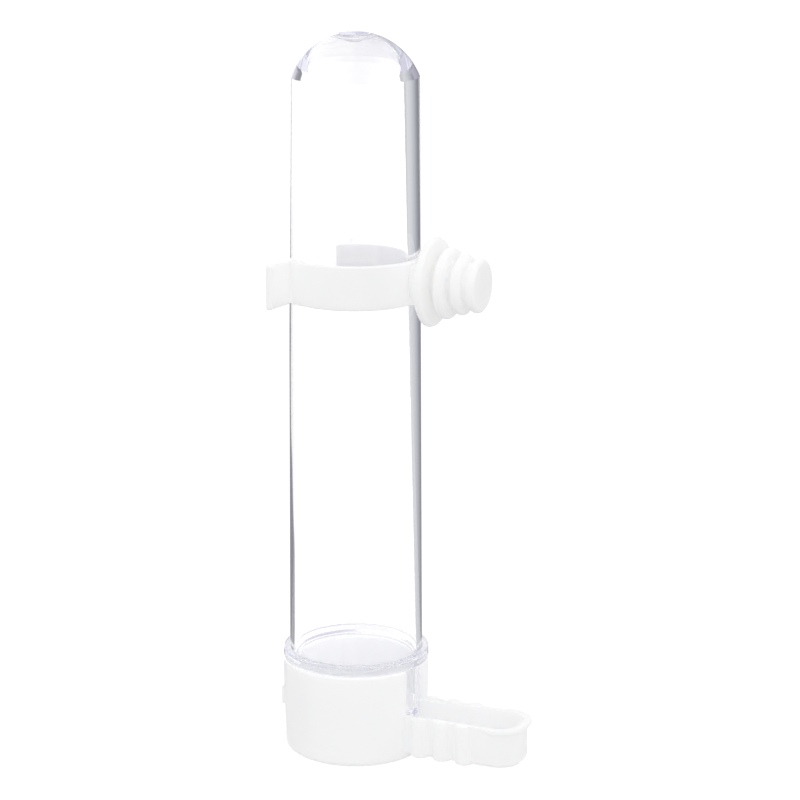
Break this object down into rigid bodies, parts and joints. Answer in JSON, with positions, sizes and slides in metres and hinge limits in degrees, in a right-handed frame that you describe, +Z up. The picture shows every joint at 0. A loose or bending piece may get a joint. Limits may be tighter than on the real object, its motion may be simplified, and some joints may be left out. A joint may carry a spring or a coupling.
{
  "type": "tubular cage drinker",
  "caption": "Clear domed water tube pushed into a cup with a ribbed side trough, held to cage bars by a snap clip with a stepped plug.",
  "frame": {"origin": "on the tube's axis, at the underside of the cup", "axes": "+Z up along the tube; the trough and the clip's plug point along +X"},
  "size_m": [0.0633, 0.0444, 0.1734],
  "materials": {
    "clear_tube": "clear polystyrene, polished, faint blue-violet edge tint",
    "white_cup": "white translucent polypropylene, satin",
    "white_clip": "white polypropylene, satin"
  },
  "bodies": {
    "cup": {"drinking_cup": "white_cup"},
    "tube": {"reservoir_tube": "clear_tube"},
    "clip": {"cage_clip": "white_clip"}
  },
  "joints": [
    {"name": "tube_pull", "type": "slide", "parent": "cup", "child": "tube", "axis": [0, 0, 1], "range_m": [0, 0.03]},
    {"name": "clip_slide", "type": "slide", "parent": "tube", "child": "clip", "axis": [0, 0, 1], "range_m": [-0.02, 0.063]}
  ]
}
